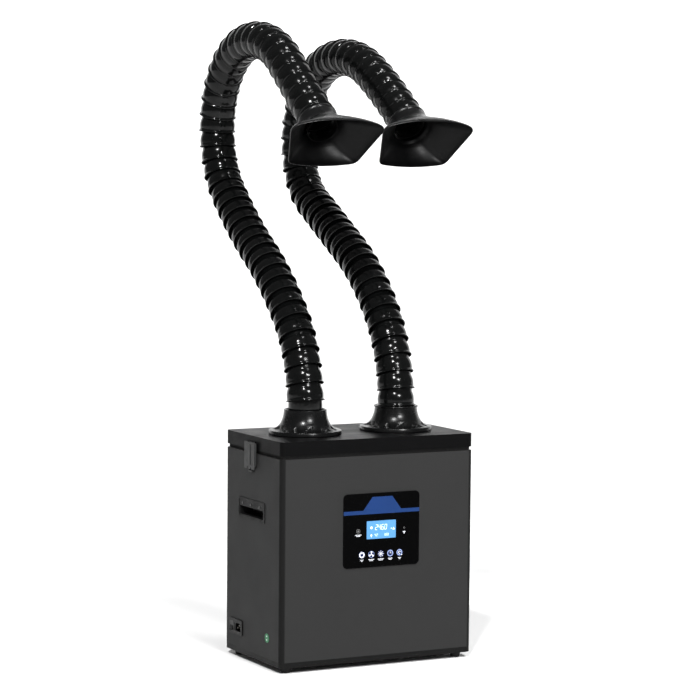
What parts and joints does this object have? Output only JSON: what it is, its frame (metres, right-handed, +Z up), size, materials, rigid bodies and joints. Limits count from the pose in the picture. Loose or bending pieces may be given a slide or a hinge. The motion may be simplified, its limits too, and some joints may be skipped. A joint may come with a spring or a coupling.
{
  "type": "solder fume extractor",
  "caption": "Benchtop fume extractor: filter cabinet with a control panel, and two self-supporting ringed hoses that end in wide flared hoods.",
  "frame": {"origin": "middle of the four foot recesses, on the surface the feet stand on", "axes": "+X to the right as the control panel is faced, +Y to the back, +Z up"},
  "size_m": [0.4448, 0.6473, 1.2861],
  "materials": {
    "shell_paint": "satin",
    "base_black": "satin",
    "cover_black": "satin",
    "foot_rubber": "matte",
    "zinc_steel": "satin",
    "black_screw": "satin",
    "handle_plastic": "satin",
    "inlet_plastic": "satin",
    "plated_brass": "polished",
    "switch_plastic": "gloss",
    "green_label": "satin",
    "panel_gloss": "gloss",
    "lcd_glass": "gloss",
    "board_green": "satin",
    "key_blue": "gloss",
    "latch_grey": "satin",
    "keeper_steel": "satin",
    "sheet_steel": "satin",
    "seal_foam": "matte",
    "pre_media": "matte",
    "hepa_media": "matte",
    "carbon_cell": "matte",
    "motor_steel": "satin",
    "fan_plastic": "satin",
    "harness_red": "satin",
    "grille_black": "satin",
    "flange_plastic": "satin",
    "hose_plastic": "gloss",
    "hood_plastic": "satin"
  },
  "bodies": {
    "cabinet": {"cabinet_shell": "shell_paint", "base_pan": "base_black", "feet": "foot_rubber", "foot_screws": "zinc_steel", "left_handle": "handle_plastic", "right_handle": "handle_plastic", "handle_screws": "black_screw", "inlet_module": "inlet_plastic", "inlet_pins": "plated_brass", "fuse_drawer": "inlet_plastic", "status_label": "green_label", "control_panel": "panel_gloss", "lcd_display": "lcd_glass", "control_board": "board_green", "left_latch_base": "latch_grey", "right_latch_base": "latch_grey", "filter_shelf": "sheet_steel", "shelf_seal": "seal_foam", "pre_filter": "pre_media", "hepa_filter": "hepa_media", "carbon_filter": "carbon_cell", "blower_housing": "sheet_steel", "blower_motor": "motor_steel", "motor_screws": "zinc_steel", "power_supply": "sheet_steel", "wiring": "harness_red", "exhaust_grille": "grille_black"},
    "rocker": {"rocker_switch": "switch_plastic"},
    "impeller": {"impeller": "fan_plastic"},
    "cover": {"top_cover": "cover_black", "cover_gasket": "seal_foam", "latch_keepers": "keeper_steel", "left_flange": "flange_plastic", "right_flange": "flange_plastic", "flange_screws": "black_screw"},
    "left_latch": {"left_latch": "latch_grey"},
    "right_latch": {"right_latch": "latch_grey"},
    "key_power": {"key_power": "key_blue"},
    "key_fan": {"key_fan": "key_blue"},
    "key_boost": {"key_boost": "key_blue"},
    "key_timer": {"key_timer": "key_blue"},
    "key_filter": {"key_filter": "key_blue"},
    "left_arm_1": {"left_hose_1": "hose_plastic"},
    "left_arm_2": {"left_hose_2": "hose_plastic"},
    "left_arm_3": {"left_hose_3": "hose_plastic"},
    "left_arm_4": {"left_hose_4": "hose_plastic"},
    "left_arm_5": {"left_hose_5": "hose_plastic"},
    "left_arm_6": {"left_hose_6": "hose_plastic"},
    "left_arm_7": {"left_hose_7": "hose_plastic"},
    "left_hood": {"left_hood": "hood_plastic"},
    "right_arm_1": {"right_hose_1": "hose_plastic"},
    "right_arm_2": {"right_hose_2": "hose_plastic"},
    "right_arm_3": {"right_hose_3": "hose_plastic"},
    "right_arm_4": {"right_hose_4": "hose_plastic"},
    "right_arm_5": {"right_hose_5": "hose_plastic"},
    "right_arm_6": {"right_hose_6": "hose_plastic"},
    "right_arm_7": {"right_hose_7": "hose_plastic"},
    "right_hood": {"right_hood": "hood_plastic"}
  },
  "joints": [
    {"name": "cover_lift", "type": "slide", "parent": "cabinet", "child": "cover", "axis": [0, 0, 1], "range_m": [0, 0.12]},
    {"name": "left_latch_hinge", "type": "hinge", "parent": "cabinet", "child": "left_latch", "pos_m": [-0.2182, 0.005, 0.393], "axis": [0, 1, 0], "range_deg": [-100, 0]},
    {"name": "right_latch_hinge", "type": "hinge", "parent": "cabinet", "child": "right_latch", "pos_m": [0.2182, 0.005, 0.393], "axis": [0, 1, 0], "range_deg": [0, 100]},
    {"name": "rocker_tilt", "type": "hinge", "parent": "cabinet", "child": "rocker", "pos_m": [-0.212, 0.093, 0.063], "axis": [0, 1, 0], "range_deg": [-14, 0]},
    {"name": "impeller_spin", "type": "hinge", "parent": "cabinet", "child": "impeller", "pos_m": [0.02, 0.01, 0.1], "axis": [0, 0, 1], "continuous": true},
    {"name": "key_power_press", "type": "slide", "parent": "cabinet", "child": "key_power", "axis": [0, 1, 0], "range_m": [0, 0.0005], "stiffness_N_per_m": 1500},
    {"name": "key_fan_press", "type": "slide", "parent": "cabinet", "child": "key_fan", "axis": [0, 1, 0], "range_m": [0, 0.0005], "stiffness_N_per_m": 1500},
    {"name": "key_boost_press", "type": "slide", "parent": "cabinet", "child": "key_boost", "axis": [0, 1, 0], "range_m": [0, 0.0005], "stiffness_N_per_m": 1500},
    {"name": "key_timer_press", "type": "slide", "parent": "cabinet", "child": "key_timer", "axis": [0, 1, 0], "range_m": [0, 0.0005], "stiffness_N_per_m": 1500},
    {"name": "key_filter_press", "type": "slide", "parent": "cabinet", "child": "key_filter", "axis": [0, 1, 0], "range_m": [0, 0.0005], "stiffness_N_per_m": 1500},
    {"name": "left_swivel", "type": "hinge", "parent": "cover", "child": "left_arm_1", "pos_m": [-0.103, -0.006, 0.51], "axis": [0, 0, 1], "range_deg": [-5, 0]},
    {"name": "left_bend_1", "type": "hinge", "parent": "left_arm_1", "child": "left_arm_2", "pos_m": [-0.103, 0.06237, 0.68811], "axis": [1, 0, 0], "range_deg": [-9.5, 19]},
    {"name": "left_bend_2", "type": "hinge", "parent": "left_arm_2", "child": "left_arm_3", "pos_m": [-0.103, 0.21128, 0.81306], "axis": [1, 0, 0], "range_deg": [-14, 14.5]},
    {"name": "left_bend_3", "type": "hinge", "parent": "left_arm_3", "child": "left_arm_4", "pos_m": [-0.103, 0.36467, 0.9329], "axis": [1, 0, 0], "range_deg": [-20.5, 8.5]},
    {"name": "left_bend_4", "type": "hinge", "parent": "left_arm_4", "child": "left_arm_5", "pos_m": [-0.103, 0.41606, 1.11212], "axis": [1, 0, 0], "range_deg": [-24.5, 4]},
    {"name": "left_bend_5", "type": "hinge", "parent": "left_arm_5", "child": "left_arm_6", "pos_m": [-0.103, 0.28369, 1.2422], "axis": [1, 0, 0], "range_deg": [-23.5, 5]},
    {"name": "left_bend_6", "type": "hinge", "parent": "left_arm_6", "child": "left_arm_7", "pos_m": [-0.103, 0.09878, 1.2029], "axis": [1, 0, 0], "range_deg": [-18.5, 10]},
    {"name": "left_hood_turn", "type": "hinge", "parent": "left_arm_7", "child": "left_hood", "pos_m": [-0.103, -0.05381, 1.08152], "axis": [0, -0.766, -0.6428], "range_deg": [0, 170]},
    {"name": "right_swivel", "type": "hinge", "parent": "cover", "child": "right_arm_1", "pos_m": [0.103, -0.006, 0.51], "axis": [0, 0, 1], "range_deg": [0, 5]},
    {"name": "right_bend_1", "type": "hinge", "parent": "right_arm_1", "child": "right_arm_2", "pos_m": [0.103, 0.05636, 0.69111], "axis": [1, 0, 0], "range_deg": [-9, 19.5]},
    {"name": "right_bend_2", "type": "hinge", "parent": "right_arm_2", "child": "right_arm_3", "pos_m": [0.103, 0.20367, 0.81693], "axis": [1, 0, 0], "range_deg": [-12.5, 16]},
    {"name": "right_bend_3", "type": "hinge", "parent": "right_arm_3", "child": "right_arm_4", "pos_m": [0.103, 0.37422, 0.91146], "axis": [1, 0, 0], "range_deg": [-21, 8]},
    {"name": "right_bend_4", "type": "hinge", "parent": "right_arm_4", "child": "right_arm_5", "pos_m": [0.103, 0.44191, 1.07898], "axis": [1, 0, 0], "range_deg": [-25.5, 3]},
    {"name": "right_bend_5", "type": "hinge", "parent": "right_arm_5", "child": "right_arm_6", "pos_m": [0.103, 0.30739, 1.20888], "axis": [1, 0, 0], "range_deg": [-22.5, 6]},
    {"name": "right_bend_6", "type": "hinge", "parent": "right_arm_6", "child": "right_arm_7", "pos_m": [0.103, 0.11803, 1.18731], "axis": [1, 0, 0], "range_deg": [-19, 10]},
    {"name": "right_hood_turn", "type": "hinge", "parent": "right_arm_7", "child": "right_hood", "pos_m": [0.103, -0.04433, 1.07984], "axis": [0, -0.7771, -0.6293], "range_deg": [-170, 0]}
  ]
}
